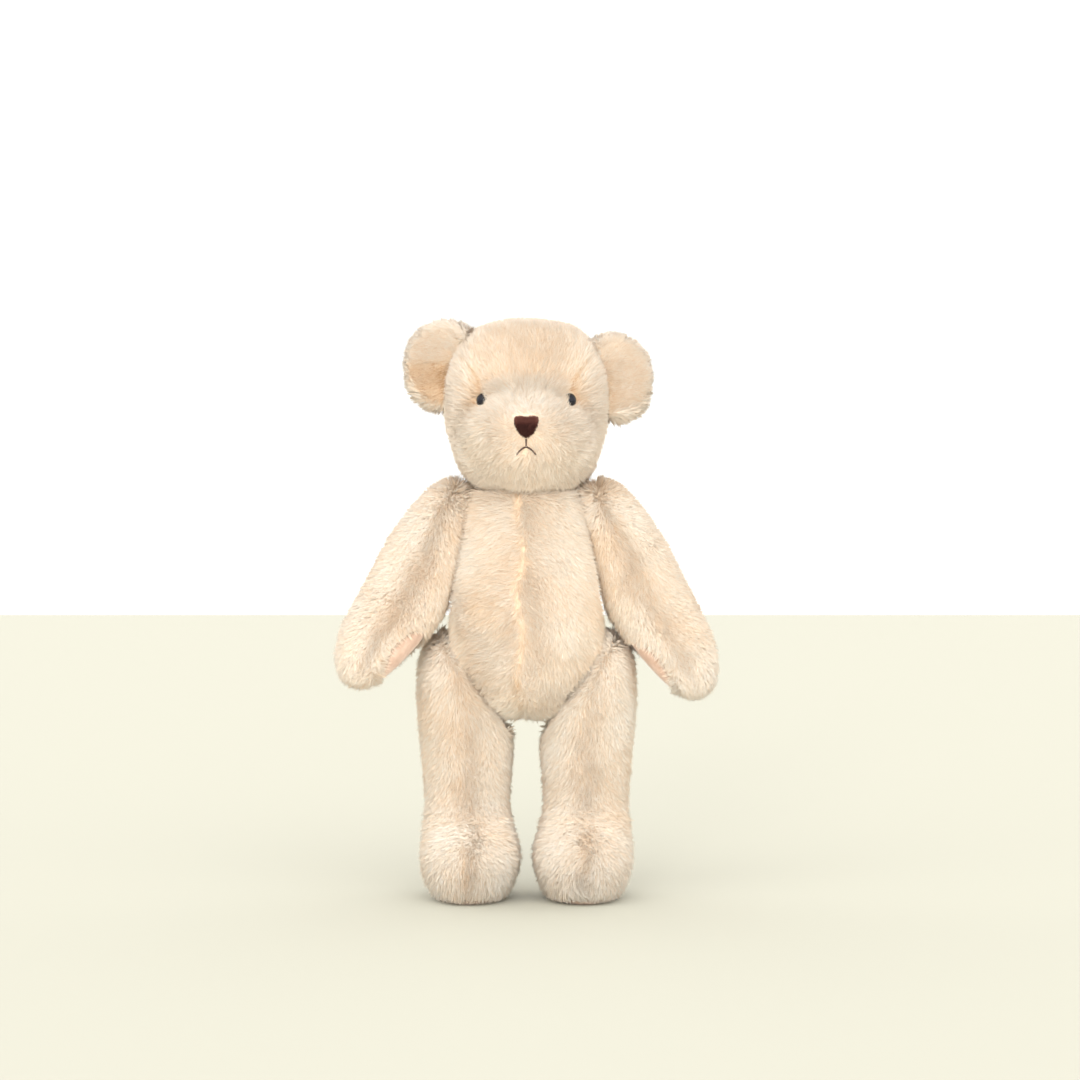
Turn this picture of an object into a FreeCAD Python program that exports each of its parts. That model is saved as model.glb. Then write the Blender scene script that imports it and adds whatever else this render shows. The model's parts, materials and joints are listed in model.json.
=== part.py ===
"""Jointed teddy bear, as separate sewn panels, stuffing, pads, features and disc joints.

Millimetres, +Z up, standing on Z = 0. The bear faces -Y and its own left is +X.
Each plush cover is a shell: the same form built twice, once at full size and once inset
by the cloth's thickness, and cut along its seams into the panels it is sewn from.
Every joint is a plastic disc set: a disc with a shank in the limb, a plain disc in the
torso and a lock washer pressed on the shank.
"""

import FreeCAD
import Part
import math
import os

V = FreeCAD.Vector

# ---- Driving dimensions -------------------------------------------------------------
CLOTH = 3.0          # backing and flattened pile of the plush
FILL_GAP = 0.3       # between a cover's inside and its stuffing
JOINT_GAP = 0.4      # each cover stops this far short of its joint plane
FAR = 450.0          # past the whole bear, for cutting tools
BODY_Y = 12.0        # the joints' common plane, behind the middle of the footprint

NECK = V(0, BODY_Y, 283.0)
SHOULDER_X, SHOULDER_Z = 43.2, 244.5
SHOULDER_TILT = 12.0             # the arm's joint face looks this far up
LEFT_ARM_SWING = 3.0             # forward of hanging, at rest
RIGHT_ARM_SWING = 20.0
HIP_X, HIP_Z = 37.5, 155.0
HIP_TILT = 34.0                  # the leg's joint face looks this far down
LEG_X = 41.0                     # middle of each leg
SIDE_SEAM_Y = 6.0                # torso side seams, behind the joint plane

NECK_DISC_R, SHOULDER_DISC_R, HIP_DISC_R = 22.0, 13.0, 16.5
DISC_THICK = 2.5
SHANK_R, SHANK_REACH = 3.5, 12.0
SHANK_PLAY = 0.06                # radial clearance in the torso's disc
LOCK_R, LOCK_THICK, LOCK_GAP = 8.0, 2.0, 0.4
LOCK_ROOM = 0.5                  # free space round a lock washer and past its shank
CLOTH_HOLE_R = 4.5

EYE_X, EYE_Z, EYE_R, EYE_DOME = 30.3, 343.0, 5.0, 3.4
EYE_SHANK_R, EYE_SHANK_LONG = 1.8, 13.0
EYE_SUNK, EYE_RIM = 1.0, 1.0      # into the cloth, and the dome's straight edge
EYE_WASHER_R, EYE_WASHER_THICK, EYE_WASHER_IN = 6.0, 1.5, 5.5
NOSE_WIDE, NOSE_HIGH, NOSE_Z = 16.5, 16.0, 325.5
NOSE_PROUD, NOSE_DEEP = 1.0, 13.5         # past the muzzle's tip, and back into the muzzle
NOSE_CORNER = 2.5                # the rounding at each end of its broad top
NOSE_WAIST, NOSE_WAIST_DROP = 0.72, 3.5   # how full its sides are, below the middle
THREAD_R = 0.7

# (height, middle x, middle y from BODY_Y, half width, half depth)
TORSO = [
    (123, 0, -2, 6, 9), (127, 0, -3, 17, 22), (136, 0, -5, 30, 35),
    (151, 0, -7, 41, 45), (170, 0, -8, 49.5, 50.5), (192, 0, -8, 52.5, 52),
    (216, 0, -6, 53, 48.5), (240, 0, -3, 49.5, 43), (262, 0, -1, 44, 37),
    (276, 0, 0, 38.5, 33), (284, 0, 0, 32, 29),
]
HEAD = [
    (283.4, 0, 1, 33, 32), (289, 0, 1, 39.5, 39), (298, 0, 1, 45, 44),
    (310, 0, 1, 49, 47.5), (324, 0, 1, 53, 50), (342, 0, 1, 54.5, 51),
    (360, 0, 1, 52.5, 50), (376, 0, 1, 46.5, 45.5), (387, 0, 1, 38, 37),
    (393, 0, 1, 28, 26), (396, 0, 1, 13, 12),
]
EYE_RING = HEAD[5]               # the head's oval nearest the eyes' height
# The muzzle runs forward: (y from BODY_Y, middle z, half width, half height)
MUZZLE = [
    (-20, 318, 43, 32), (-40, 318, 40.5, 30), (-54, 319, 35, 26.5),
    (-65, 320, 27, 21.5), (-71.5, 321, 17, 14), (-75, 322, 7, 6.5),
]
# The arm hangs from its joint: (height above the joint, outward, back, half thickness, half width)
ARM = [
    (33, 14, 0, 6, 8), (29, 14.5, 0, 15.5, 18), (19, 16.5, 0, 20.5, 25.5),
    (2, 20.8, 0, 24, 29.5), (-18, 24.8, 0, 27.2, 29.5), (-40, 29.5, -1, 28, 28),
    (-62, 36, -4, 27.5, 26.5), (-79, 41.5, -7, 26, 25.5), (-94, 46, -9.5, 22.5, 23.5),
    (-107, 49, -12, 17, 19.5), (-115, 50.5, -13.5, 11, 13), (-119.5, 51, -14, 4.5, 5.5),
]
ARM_SEAM_LEAN = 14.5             # the seam between an arm's panels leans out this far
LEG = [
    (0, LEG_X - 2, -23, 19, 33), (4, LEG_X - 2, -23, 23.5, 38), (11, LEG_X - 2, -23, 27, 41.5),
    (22, LEG_X - 2, -23, 30.5, 43), (34, LEG_X - 2, -21, 31, 41.5), (45, LEG_X - 1, -17, 28.5, 35.5),
    (56, LEG_X, -10, 26.8, 29), (67, LEG_X, -5, 26.8, 27.5), (88, LEG_X, -2, 28.6, 28.5),
    (110, LEG_X + 0.3, 0, 30.5, 31), (128, LEG_X + 1, 1, 31.5, 33), (144, LEG_X + 3, 1, 30, 33),
    (160, LEG_X + 5, 1, 27, 30), (173, LEG_X + 8, 1, 20, 23), (181, LEG_X + 10, 1, 11.5, 13),
    (184.5, LEG_X + 11, 1, 4.5, 5),
]
ARM_SEAM_X = 22.3                 # and passes this far out from the joint
SOLE_DEEP = 3.0                   # the foot pad is the shell's bottom, this thick
EAR_R, EAR_THICK, EAR_BACK = 29.5, 9.5, 2.0
EARS = {"left": (59.0, 358.5), "right": (-56.5, 367.5)}    # middle x and z of each ear
EAR_TURN = 22.0                   # each ear cups this far outward
PAW_PAD = (-91.0, -10.5, 20.0, 15.5)    # along the arm, back, half length, half width
PAD_FROM, PAD_REACH = -5.0, 52.0       # the pad is cut from the arm's inner wall, between these
# Front outline of the head's middle panels, from the nose up: (half width, height)
GUSSET = [(9, 326), (25, 346), (30, 362), (35, 386), (38, FAR)]
MUZZLE_SEAM_Z = 358.0             # where the forehead panel meets the muzzle panel
MUZZLE_SEAM_Y = -10.0             # and how far back that seam may run, from BODY_Y
MOUTH_DROP, MOUTH_WIDE, MOUTH_FALL = 5.5, 7.5, 6.0   # upright stitch, then each sloping one

RIM_POINTS = 16
LEAST_HALF = 1.5                  # an inset oval never gets narrower than this


# ---- Forms --------------------------------------------------------------------------
def ring(place, across, along, half_across, half_along):
    """A closed smooth oval round place, as a wire."""
    points = []
    for i in range(RIM_POINTS):
        t = 2 * math.pi * i / RIM_POINTS
        points.append(place + across * (half_across * math.cos(t)) + along * (half_along * math.sin(t)))
    curve = Part.BSplineCurve()
    curve.interpolate(Points=points, PeriodicFlag=True)
    return Part.Wire([curve.toShape()])


def lofted(rings):
    """A closed solid through the rings, smooth from end to end."""
    made = Part.makeLoft(rings, True, False, False)
    solid = made.Solids[0]
    return solid if solid.Volume > 0 else solid.reversed()


def stacked(stations, inset, mid_y=BODY_Y):
    """A soft form through level ovals, smaller all round by inset."""
    first, last = stations[0][0], stations[-1][0]
    up = 1 if last > first else -1
    rings = []
    for height, x, y, half_x, half_y in stations:
        level = min(max(height * up, first * up + inset), last * up - inset) * up
        if any(abs(level - r[0]) < 0.01 for r in rings):
            rings.pop()      # the ring nearest an end takes its place
        rings.append((level, x, y, max(half_x - inset, LEAST_HALF), max(half_y - inset, LEAST_HALF)))
    return lofted([ring(V(x, mid_y + y, z), V(1, 0, 0), V(0, 1, 0), a, b) for z, x, y, a, b in rings])


def muzzle(inset):
    """The muzzle's own form, from inside the head to its tip."""
    tip = MUZZLE[-1][0] + inset
    rings = []
    for y, z, half_x, half_z in MUZZLE:
        place = V(0, BODY_Y + max(y, tip), z)
        if rings and y <= tip:
            rings.pop()
        half_x, half_z = max(half_x - inset, LEAST_HALF), max(half_z - inset, LEAST_HALF)
        rings.append(ring(place, V(1, 0, 0), V(0, 0, 1), half_x, half_z))
    return lofted(rings)


def half_space(point, out):
    """Everything beyond the plane through point that faces out, as a large block."""
    block = Part.makeBox(2 * FAR, 2 * FAR, FAR, V(-FAR, -FAR, 0))
    block.Placement = FreeCAD.Placement(point, FreeCAD.Rotation(V(0, 0, 1), out))
    return block


def rod(centre, along, start, end, radius):
    """A cylinder about the line through centre, from start to end along it."""
    return Part.makeCylinder(radius, end - start, centre + along * start, along)


def prism_xz(outline, y0, y1):
    """An outline of (x, z) points, carried from y0 to y1."""
    points = [V(x, y0, z) for x, z in outline]
    face = Part.Face(Part.makePolygon(points + points[:1]))
    return face.extrude(V(0, y1 - y0, 0))


def mirrored(shape):
    return shape.mirror(V(0, 0, 0), V(1, 0, 0))


# ---- Joints -------------------------------------------------------------------------
def joint_set(centre, out, disc_r):
    """A disc joint whose limb lies towards out: the limb's disc with its shank, the torso's
    disc and the lock washer, then the room that they need in the cloth and the stuffing."""
    face = JOINT_GAP + CLOTH
    limb_disc = rod(centre, out, face, face + DISC_THICK, disc_r)
    shank = rod(centre, out, -SHANK_REACH, face + DISC_THICK / 2, SHANK_R)
    limb_disc = limb_disc.fuse(shank).removeSplitter()
    body_disc = rod(centre, out, -face - DISC_THICK, -face, disc_r)
    body_disc = body_disc.cut(rod(centre, out, -FAR, FAR, SHANK_R + SHANK_PLAY))
    lock_top = -face - DISC_THICK - LOCK_GAP
    lock = rod(centre, out, lock_top - LOCK_THICK, lock_top, LOCK_R)
    lock = lock.cut(rod(centre, out, -FAR, FAR, SHANK_R))
    hole = rod(centre, out, -face - 1, face + 1, CLOTH_HOLE_R)
    limb_room = rod(centre, out, 0, face + DISC_THICK + FILL_GAP, disc_r + FILL_GAP)
    torso_room = rod(centre, out, -face - DISC_THICK - FILL_GAP, 0, disc_r + FILL_GAP)
    lock_room = rod(centre, out, -SHANK_REACH - LOCK_ROOM, -face, LOCK_R + LOCK_ROOM)
    return {
        "limb_disc": limb_disc, "body_disc": body_disc, "lock": lock, "hole": hole,
        "limb_room": limb_room, "torso_room": torso_room.fuse(lock_room),
    }


SHOULDER_OUT = V(math.cos(math.radians(SHOULDER_TILT)), 0, math.sin(math.radians(SHOULDER_TILT)))
HIP_OUT = V(math.cos(math.radians(HIP_TILT)), 0, -math.sin(math.radians(HIP_TILT)))
SHOULDER = V(SHOULDER_X, BODY_Y, SHOULDER_Z)
HIP = V(HIP_X, BODY_Y, HIP_Z)
UP = V(0, 0, 1)

NECK_SET = joint_set(NECK, UP, NECK_DISC_R)
SHOULDER_SET = joint_set(SHOULDER, SHOULDER_OUT, SHOULDER_DISC_R)
HIP_SET = joint_set(HIP, HIP_OUT, HIP_DISC_R)


def both_sides(shape):
    return [shape, mirrored(shape)]


# ---- Torso --------------------------------------------------------------------------
def torso_form(inset):
    form = stacked(TORSO, inset)
    edge = JOINT_GAP + inset
    arm_side = half_space(SHOULDER - SHOULDER_OUT * edge, SHOULDER_OUT)
    leg_side = half_space(HIP - HIP_OUT * edge, HIP_OUT)
    above = half_space(NECK - UP * edge, UP)
    for tool in both_sides(arm_side) + both_sides(leg_side) + [above]:
        form = form.cut(tool)
    return form.Solids[0]


def torso_parts():
    cover = torso_form(0).cut(torso_form(CLOTH))
    fill = torso_form(CLOTH + FILL_GAP)
    sets = [NECK_SET["hole"]] + both_sides(SHOULDER_SET["hole"]) + both_sides(HIP_SET["hole"])
    for hole in sets:
        cover = cover.cut(hole)
    rooms = [NECK_SET["torso_room"]] + both_sides(SHOULDER_SET["torso_room"])
    rooms += both_sides(HIP_SET["torso_room"])
    for room in rooms:
        fill = fill.cut(room)
    left = half_space(V(0, 0, 0), V(1, 0, 0))
    right = half_space(V(0, 0, 0), V(-1, 0, 0))
    seam = V(0, BODY_Y + SIDE_SEAM_Y, 0)
    front = half_space(seam, V(0, -1, 0))
    back = half_space(seam, V(0, 1, 0))
    parts = {"torso_stuffing": fill, "neck_body_disc": NECK_SET["body_disc"]}
    for depth, where in (("front", front), ("back", back)):
        for side, half in (("left", left), ("right", right)):
            parts[f"torso_{depth}_{side}"] = cover.common(where).common(half)
    for name, made in (("shoulder", SHOULDER_SET), ("hip", HIP_SET)):
        disc = made["body_disc"]
        parts[f"left_{name}_body_disc"] = disc
        parts[f"right_{name}_body_disc"] = mirrored(disc)
    return parts


# ---- Head ---------------------------------------------------------------------------
def head_form(inset):
    return stacked(HEAD, inset).fuse(muzzle(inset)).removeSplitter().Solids[0]


def ear_form(side):
    """A thin round cushion, which the head's own form is later cut from."""
    x, z = EARS[side]
    ball = Part.makeSphere(EAR_R)
    squeeze = FreeCAD.Matrix()
    squeeze.scale(V(1, EAR_THICK / EAR_R, 1))
    ear = ball.transformGeometry(squeeze)
    turn = EAR_TURN if x > 0 else -EAR_TURN
    ear.Placement = FreeCAD.Placement(V(x, BODY_Y + EAR_BACK, z), FreeCAD.Rotation(UP, turn))
    return ear, ear.Placement


def eye_parts(x):
    """A domed plastic eye with its shank, and the washer that locks it behind the cloth."""
    _, _, mid_y, a, b = EYE_RING
    forward = b * math.sqrt(1 - (x / a) ** 2)
    out = V(x / a ** 2, -forward / b ** 2, 0).normalize()
    place = V(x, BODY_Y + mid_y - forward, EYE_Z) - out * EYE_SUNK
    ball_r = (EYE_R ** 2 + EYE_DOME ** 2) / (2 * EYE_DOME)
    dome = Part.makeSphere(ball_r, place + out * (EYE_DOME - ball_r))
    dome = dome.common(half_space(place, out))
    rim = rod(place, out, -EYE_RIM, 0, EYE_R)
    shank = rod(place, out, -EYE_SHANK_LONG, -EYE_RIM / 2, EYE_SHANK_R)
    eye = dome.fuse(rim).fuse(shank).removeSplitter()
    washer = rod(place, out, -EYE_WASHER_IN - EYE_WASHER_THICK, -EYE_WASHER_IN, EYE_WASHER_R)
    washer = washer.cut(rod(place, out, -FAR, FAR, EYE_SHANK_R))
    room = rod(place, out, -EYE_SHANK_LONG - FILL_GAP, 0, EYE_WASHER_R + FILL_GAP)
    seat = rod(place, out, -EYE_RIM, EYE_DOME, EYE_R).fuse(rod(place, out, -EYE_SHANK_LONG, 0, EYE_SHANK_R))
    return eye, washer, room, seat


def nose_form():
    """A shield with a broad top and a round foot, laid over the muzzle's tip."""
    half, top = NOSE_WIDE / 2, NOSE_Z + NOSE_HIGH / 2
    foot = NOSE_Z - NOSE_HIGH / 2
    shoulder = top - NOSE_CORNER
    flat = half - NOSE_CORNER
    y = BODY_Y + MUZZLE[-1][0] - NOSE_PROUD
    waist_z = NOSE_Z - NOSE_WAIST_DROP
    corner_x, corner_z = half - NOSE_CORNER / 4, top - NOSE_CORNER / 3

    def at(x, z):
        return V(x, y, z)

    edges = [
        Part.LineSegment(at(-flat, top), at(flat, top)).toShape(),
        Part.Arc(at(flat, top), at(corner_x, corner_z), at(half, shoulder)).toShape(),
        Part.Arc(at(half, shoulder), at(half * NOSE_WAIST, waist_z), at(0, foot)).toShape(),
        Part.Arc(at(0, foot), at(-half * NOSE_WAIST, waist_z), at(-half, shoulder)).toShape(),
        Part.Arc(at(-half, shoulder), at(-corner_x, corner_z), at(-flat, top)).toShape(),
    ]
    shield = Part.Face(Part.Wire(edges)).extrude(V(0, NOSE_DEEP, 0))
    return shield.cut(head_form(0))


def muzzle_front(x, z):
    """The point of the muzzle's surface straight ahead of (x, z)."""
    sight = Part.LineSegment(V(x, BODY_Y + MUZZLE[-1][0] - 5, z), V(x, BODY_Y, z)).toShape()
    met = muzzle(0).common(sight)
    return min((v.Point for v in met.Vertexes), key=lambda point: point.y)


def mouth_form():
    """One upright stitch below the nose and two that slope away from its foot."""
    foot = NOSE_Z - NOSE_HIGH / 2
    split = foot - MOUTH_DROP
    apart = 2 * THREAD_R
    ends = [((0, foot), (0, split + THREAD_R))]
    for side in (-1, 1):
        ends.append(((side * apart, split), (side * MOUTH_WIDE, split - MOUTH_FALL)))
    stitches = []
    for high, low in ends:
        start, end = muzzle_front(*high), muzzle_front(*low)
        along = end - start
        stitches.append(Part.makeCylinder(THREAD_R, along.Length, start, along))
    return Part.makeCompound(stitches)


def head_parts():
    outer = head_form(0)
    mouth = mouth_form()
    cover = outer.cut(head_form(CLOTH)).cut(NECK_SET["hole"]).cut(mouth)
    fill = head_form(CLOTH + FILL_GAP).cut(NECK_SET["limb_room"])
    parts = {"neck_joint_disc": NECK_SET["limb_disc"], "neck_lock_washer": NECK_SET["lock"]}
    for side, x in (("left", EYE_X), ("right", -EYE_X)):
        eye, washer, room, seat = eye_parts(x)
        parts[f"{side}_eye"] = eye
        parts[f"{side}_eye_washer"] = washer
        fill = fill.cut(room)
        cover = cover.cut(seat).cut(washer)
    parts["head_stuffing"] = fill
    outline = GUSSET + [(-x, z) for x, z in reversed(GUSSET)]
    gusset = prism_xz(outline, -FAR, FAR)
    front_low = Part.makeBox(FAR, FAR, MUZZLE_SEAM_Z, V(-FAR / 2, BODY_Y + MUZZLE_SEAM_Y - FAR, 0))
    middle = cover.common(gusset)
    sides = cover.cut(gusset)
    parts["muzzle_gusset"] = middle.common(front_low)
    parts["forehead_gusset"] = middle.cut(front_low)
    for side, out in (("left", V(1, 0, 0)), ("right", V(-1, 0, 0))):
        parts[f"head_{side}_side"] = sides.common(half_space(V(0, 0, 0), out))
        ear, place = ear_form(side)
        ear = ear.cut(outer)
        ear_out = place.Rotation.multVec(V(0, -1, 0))
        front = half_space(place.Base, ear_out)
        parts[f"{side}_ear_front"] = ear.common(front)
        parts[f"{side}_ear_back"] = ear.cut(front)
    parts["nose"] = nose_form()
    parts["mouth_stitches"] = mouth
    return parts


# ---- Arms and legs ------------------------------------------------------------------
def arm_form(inset):
    """The arm hanging straight down from a joint at the origin, its joint face at X = 0."""
    form = stacked(ARM[::-1], inset, 0)
    return form.common(half_space(V(JOINT_GAP + inset, 0, 0), V(1, 0, 0))).Solids[0]


def arm_parts(side, swing):
    cover = arm_form(0).cut(arm_form(CLOTH))
    fill = arm_form(CLOTH + FILL_GAP)
    down, back, half_long, half_wide = PAW_PAD
    pad_ring = ring(V(PAD_FROM, back, down), V(0, 1, 0), V(0, 0, 1), half_wide, half_long)
    pad_tool = Part.Face(pad_ring).extrude(V(PAD_REACH, 0, 0))
    lean = math.radians(ARM_SEAM_LEAN)
    outer_half = half_space(V(ARM_SEAM_X, 0, 0), V(math.cos(lean), 0, math.sin(lean)))
    pad = cover.common(pad_tool)
    parts = {
        "paw_pad": pad,
        "arm_outer": cover.common(outer_half),
        "arm_inner": cover.cut(outer_half).cut(pad_tool),
        "arm_stuffing": fill,
    }
    swing_turn = FreeCAD.Rotation(V(-1, 0, 0), swing)
    tilt = FreeCAD.Rotation(V(0, -1, 0), SHOULDER_TILT)
    for name in parts:
        parts[name].Placement = FreeCAD.Placement(SHOULDER, tilt.multiply(swing_turn))
    for name in ("arm_inner", "arm_outer"):
        parts[name] = parts[name].cut(SHOULDER_SET["hole"])
    parts["arm_stuffing"] = parts["arm_stuffing"].cut(SHOULDER_SET["limb_room"])
    parts["shoulder_joint_disc"] = SHOULDER_SET["limb_disc"]
    parts["shoulder_lock_washer"] = SHOULDER_SET["lock"]
    return sided(parts, side)


def leg_form(inset):
    form = stacked(LEG, inset)
    out_of_hip = half_space(HIP + HIP_OUT * (JOINT_GAP + inset), HIP_OUT)
    return form.common(out_of_hip).Solids[0]


def leg_parts(side):
    cover = leg_form(0).cut(leg_form(CLOTH)).cut(HIP_SET["hole"])
    fill = leg_form(CLOTH + FILL_GAP).cut(HIP_SET["limb_room"])
    sole = Part.makeBox(FAR, FAR, SOLE_DEEP, V(-FAR / 2, -FAR / 2, 0))
    outer_half = half_space(V(LEG_X, 0, 0), V(1, 0, 0))
    upper = cover.cut(sole)
    parts = {
        "foot_pad": cover.common(sole),
        "leg_outer": upper.common(outer_half),
        "leg_inner": upper.cut(outer_half),
        "leg_stuffing": fill,
        "hip_joint_disc": HIP_SET["limb_disc"],
        "hip_lock_washer": HIP_SET["lock"],
    }
    return sided(parts, side)


def sided(parts, side):
    """Limb parts are drawn for the bear's left and mirrored for its right."""
    return {
        f"{side}_{name}": shape if side == "left" else mirrored(shape)
        for name, shape in parts.items()
    }


# ---- Output -------------------------------------------------------------------------
def main():
    parts = {}
    parts.update(torso_parts())
    parts.update(head_parts())
    parts.update(arm_parts("left", LEFT_ARM_SWING))
    parts.update(arm_parts("right", RIGHT_ARM_SWING))
    parts.update(leg_parts("left"))
    parts.update(leg_parts("right"))
    os.makedirs("parts", exist_ok=True)
    box = FreeCAD.BoundBox()
    for name, shape in sorted(parts.items()):
        solids = shape.Solids
        good = bool(solids) and all(s.isValid() and s.Volume > 0 for s in solids)
        print(f"{name}: {len(solids)} solid, {sum(s.Volume for s in solids):.0f} mm3, valid {good}")
        box.add(shape.BoundBox)
        whole = solids[0] if len(solids) == 1 else Part.makeCompound(solids)
        whole.exportStep(os.path.join("parts", name + ".step"))
    print("box", box, "nodes", len(parts))


main()
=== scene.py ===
"""Looks for the jointed teddy bear: padded cloth covers with combed mohair pile over the
fixed frame, glossy domed eyes, a velour nose, a stitched mouth and suede pads.

The bear stands on Z = 0, faces -Y, and its own left is +X. Blender lengths are metres;
the pile is worked out in millimetres."""

import bmesh
import bpy
import json
import math
import numpy as np
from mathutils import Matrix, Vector
from mathutils.kdtree import KDTree


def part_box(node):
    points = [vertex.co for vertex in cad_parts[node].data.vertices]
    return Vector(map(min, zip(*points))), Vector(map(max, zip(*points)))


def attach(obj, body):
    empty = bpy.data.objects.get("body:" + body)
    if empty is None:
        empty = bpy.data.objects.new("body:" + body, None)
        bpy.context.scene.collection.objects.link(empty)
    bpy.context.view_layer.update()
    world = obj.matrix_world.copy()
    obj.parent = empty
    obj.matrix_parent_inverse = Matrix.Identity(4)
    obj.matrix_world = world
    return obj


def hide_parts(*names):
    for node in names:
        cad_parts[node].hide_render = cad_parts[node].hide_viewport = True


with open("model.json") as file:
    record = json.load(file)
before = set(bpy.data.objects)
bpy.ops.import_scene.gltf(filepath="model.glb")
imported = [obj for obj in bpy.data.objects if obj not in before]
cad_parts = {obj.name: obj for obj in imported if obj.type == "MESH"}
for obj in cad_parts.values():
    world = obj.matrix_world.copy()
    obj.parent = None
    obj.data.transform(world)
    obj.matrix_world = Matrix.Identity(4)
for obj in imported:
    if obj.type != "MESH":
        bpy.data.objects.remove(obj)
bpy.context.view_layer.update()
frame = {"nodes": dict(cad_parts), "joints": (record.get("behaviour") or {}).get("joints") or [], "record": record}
NODES = frame["nodes"]
JOINTS = {joint["name"]: joint for joint in frame["joints"]}
MM = 0.001
SCENE = bpy.context.scene
SCENE.view_settings.view_transform = "Standard"

LEFT, RIGHT = 1, -1
SIDES = (("left", LEFT), ("right", RIGHT))


# ---- Small helpers ------------------------------------------------------------------
def box_mm(node):
    low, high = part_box(node)
    return np.array(low) / MM, np.array(high) / MM


def unit(v):
    return v / np.maximum(np.linalg.norm(v, axis=-1, keepdims=True), 1e-9)


def ease(start, end, value):
    """0 before start and 1 after end, smooth between."""
    t = np.clip((value - start) / (end - start), 0.0, 1.0)
    return t * t * (3 - 2 * t)


def near(distance, reach):
    """1 on a line or point, fading to 0 a few reaches away."""
    return np.exp(-((distance / reach) ** 2))


def waves(p, length, seed):
    """A smooth wandering value, about -1 to 1, whose swells are length apart."""
    rng = np.random.default_rng(seed)
    turn = rng.normal(size=(3, 7)) * (2.2 / length)
    start = rng.uniform(0, 2 * math.pi, 7)
    return np.sin(p @ turn + start).sum(1) / 2.6


def line_distance(p, points):
    """How far each point is from a run of straight lines in X and Z, seen along Y."""
    flat = p[:, [0, 2]]
    best = np.full(len(p), 1e9)
    for a, b in zip(points[:-1], points[1:]):
        a, b = np.array(a, float), np.array(b, float)
        run = b - a
        t = np.clip(((flat - a) @ run) / (run @ run), 0, 1)
        best = np.minimum(best, np.linalg.norm(flat - a - t[:, None] * run, axis=1))
    return best


def alone(ob):
    bpy.ops.object.select_all(action="DESELECT")
    ob.select_set(True)
    bpy.context.view_layer.objects.active = ob


def apply_modifier(ob, kind, **settings):
    modifier = ob.modifiers.new(kind, kind)
    for name, value in settings.items():
        setattr(modifier, name, value)
    alone(ob)
    bpy.ops.object.modifier_apply(modifier=modifier.name)


def points_of(ob):
    co = np.empty(len(ob.data.vertices) * 3)
    ob.data.vertices.foreach_get("co", co)
    return co.reshape(-1, 3)


def set_points(ob, co):
    ob.data.vertices.foreach_set("co", np.ascontiguousarray(co).ravel())
    ob.data.update()


def normals_of(ob):
    no = np.empty(len(ob.data.vertices) * 3)
    ob.data.vertices.foreach_get("normal", no)
    return no.reshape(-1, 3)


def finished(ob, mat):
    """Smooth shaded, in one material."""
    ob.data.polygons.foreach_set("use_smooth", np.ones(len(ob.data.polygons), bool))
    ob.data.update()
    ob.data.materials.clear()
    ob.data.materials.append(mat)


def search_tree(points):
    tree = KDTree(len(points))
    for i, point in enumerate(points):
        tree.insert(point, i)
    tree.balance()
    return tree


# ---- Materials ----------------------------------------------------------------------
NOISE_ROUGH = 0.55


def plain(name, colour, rough, **sockets):
    mat = bpy.data.materials.new(name)
    mat.use_nodes = True
    shader = mat.node_tree.nodes["Principled BSDF"]
    shader.inputs["Base Color"].default_value = (*colour, 1)
    shader.inputs["Roughness"].default_value = rough
    for socket, value in sockets.items():
        shader.inputs[socket.replace("_", " ")].default_value = value
    return mat, mat.node_tree, shader


def noise(tree, size_mm, detail=3.0):
    """Noise whose cells are about size_mm across, in object space."""
    place = tree.nodes.new("ShaderNodeTexCoord")
    node = tree.nodes.new("ShaderNodeTexNoise")
    node.inputs["Scale"].default_value = 1 / (size_mm * MM)
    node.inputs["Detail"].default_value = detail
    node.inputs["Roughness"].default_value = NOISE_ROUGH
    tree.links.new(place.outputs["Object"], node.inputs["Vector"])
    return node.outputs["Fac"]


def ramp(tree, value, stops):
    node = tree.nodes.new("ShaderNodeValToRGB")
    while len(node.color_ramp.elements) < len(stops):
        node.color_ramp.elements.new(0.5)
    for element, (position, colour) in zip(node.color_ramp.elements, stops):
        element.position = position
        element.color = (*colour, 1)
    tree.links.new(value, node.inputs["Fac"])
    return node.outputs["Color"]


def bump(tree, shader, height, depth_mm):
    node = tree.nodes.new("ShaderNodeBump")
    node.inputs["Distance"].default_value = depth_mm * MM
    node.inputs["Strength"].default_value = 1.0
    tree.links.new(height, node.inputs["Height"])
    tree.links.new(node.outputs["Normal"], shader.inputs["Normal"])


def spread(tree, value, low, high):
    """Carries a 0 to 1 value to low to high."""
    node = tree.nodes.new("ShaderNodeMapRange")
    node.inputs["To Min"].default_value = low
    node.inputs["To Max"].default_value = high
    tree.links.new(value, node.inputs["Value"])
    return node.outputs["Result"]


def cloth_backing():
    mat, tree, shader = plain("backing cloth", (0.8, 0.6, 0.4), 0.9)
    tint = ramp(tree, noise(tree, 9), [(0.3, (0.82, 0.64, 0.46)), (0.7, (0.90, 0.74, 0.57))])
    tree.links.new(tint, shader.inputs["Base Color"])
    bump(tree, shader, noise(tree, 0.9), 0.25)
    return mat


def suede():
    mat, tree, shader = plain(
        "pink suede", (0.7, 0.47, 0.36), 0.92, Sheen_Weight=0.35, Sheen_Roughness=0.4
    )
    tint = ramp(
        tree, noise(tree, 7, 4),
        [(0.28, (0.50, 0.33, 0.24)), (0.5, (0.60, 0.42, 0.32)), (0.75, (0.70, 0.52, 0.42))],
    )
    tree.links.new(tint, shader.inputs["Base Color"])
    tree.links.new(spread(tree, noise(tree, 3), 0.8, 0.98), shader.inputs["Roughness"])
    bump(tree, shader, noise(tree, 0.5, 4), 0.16)
    return mat


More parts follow.
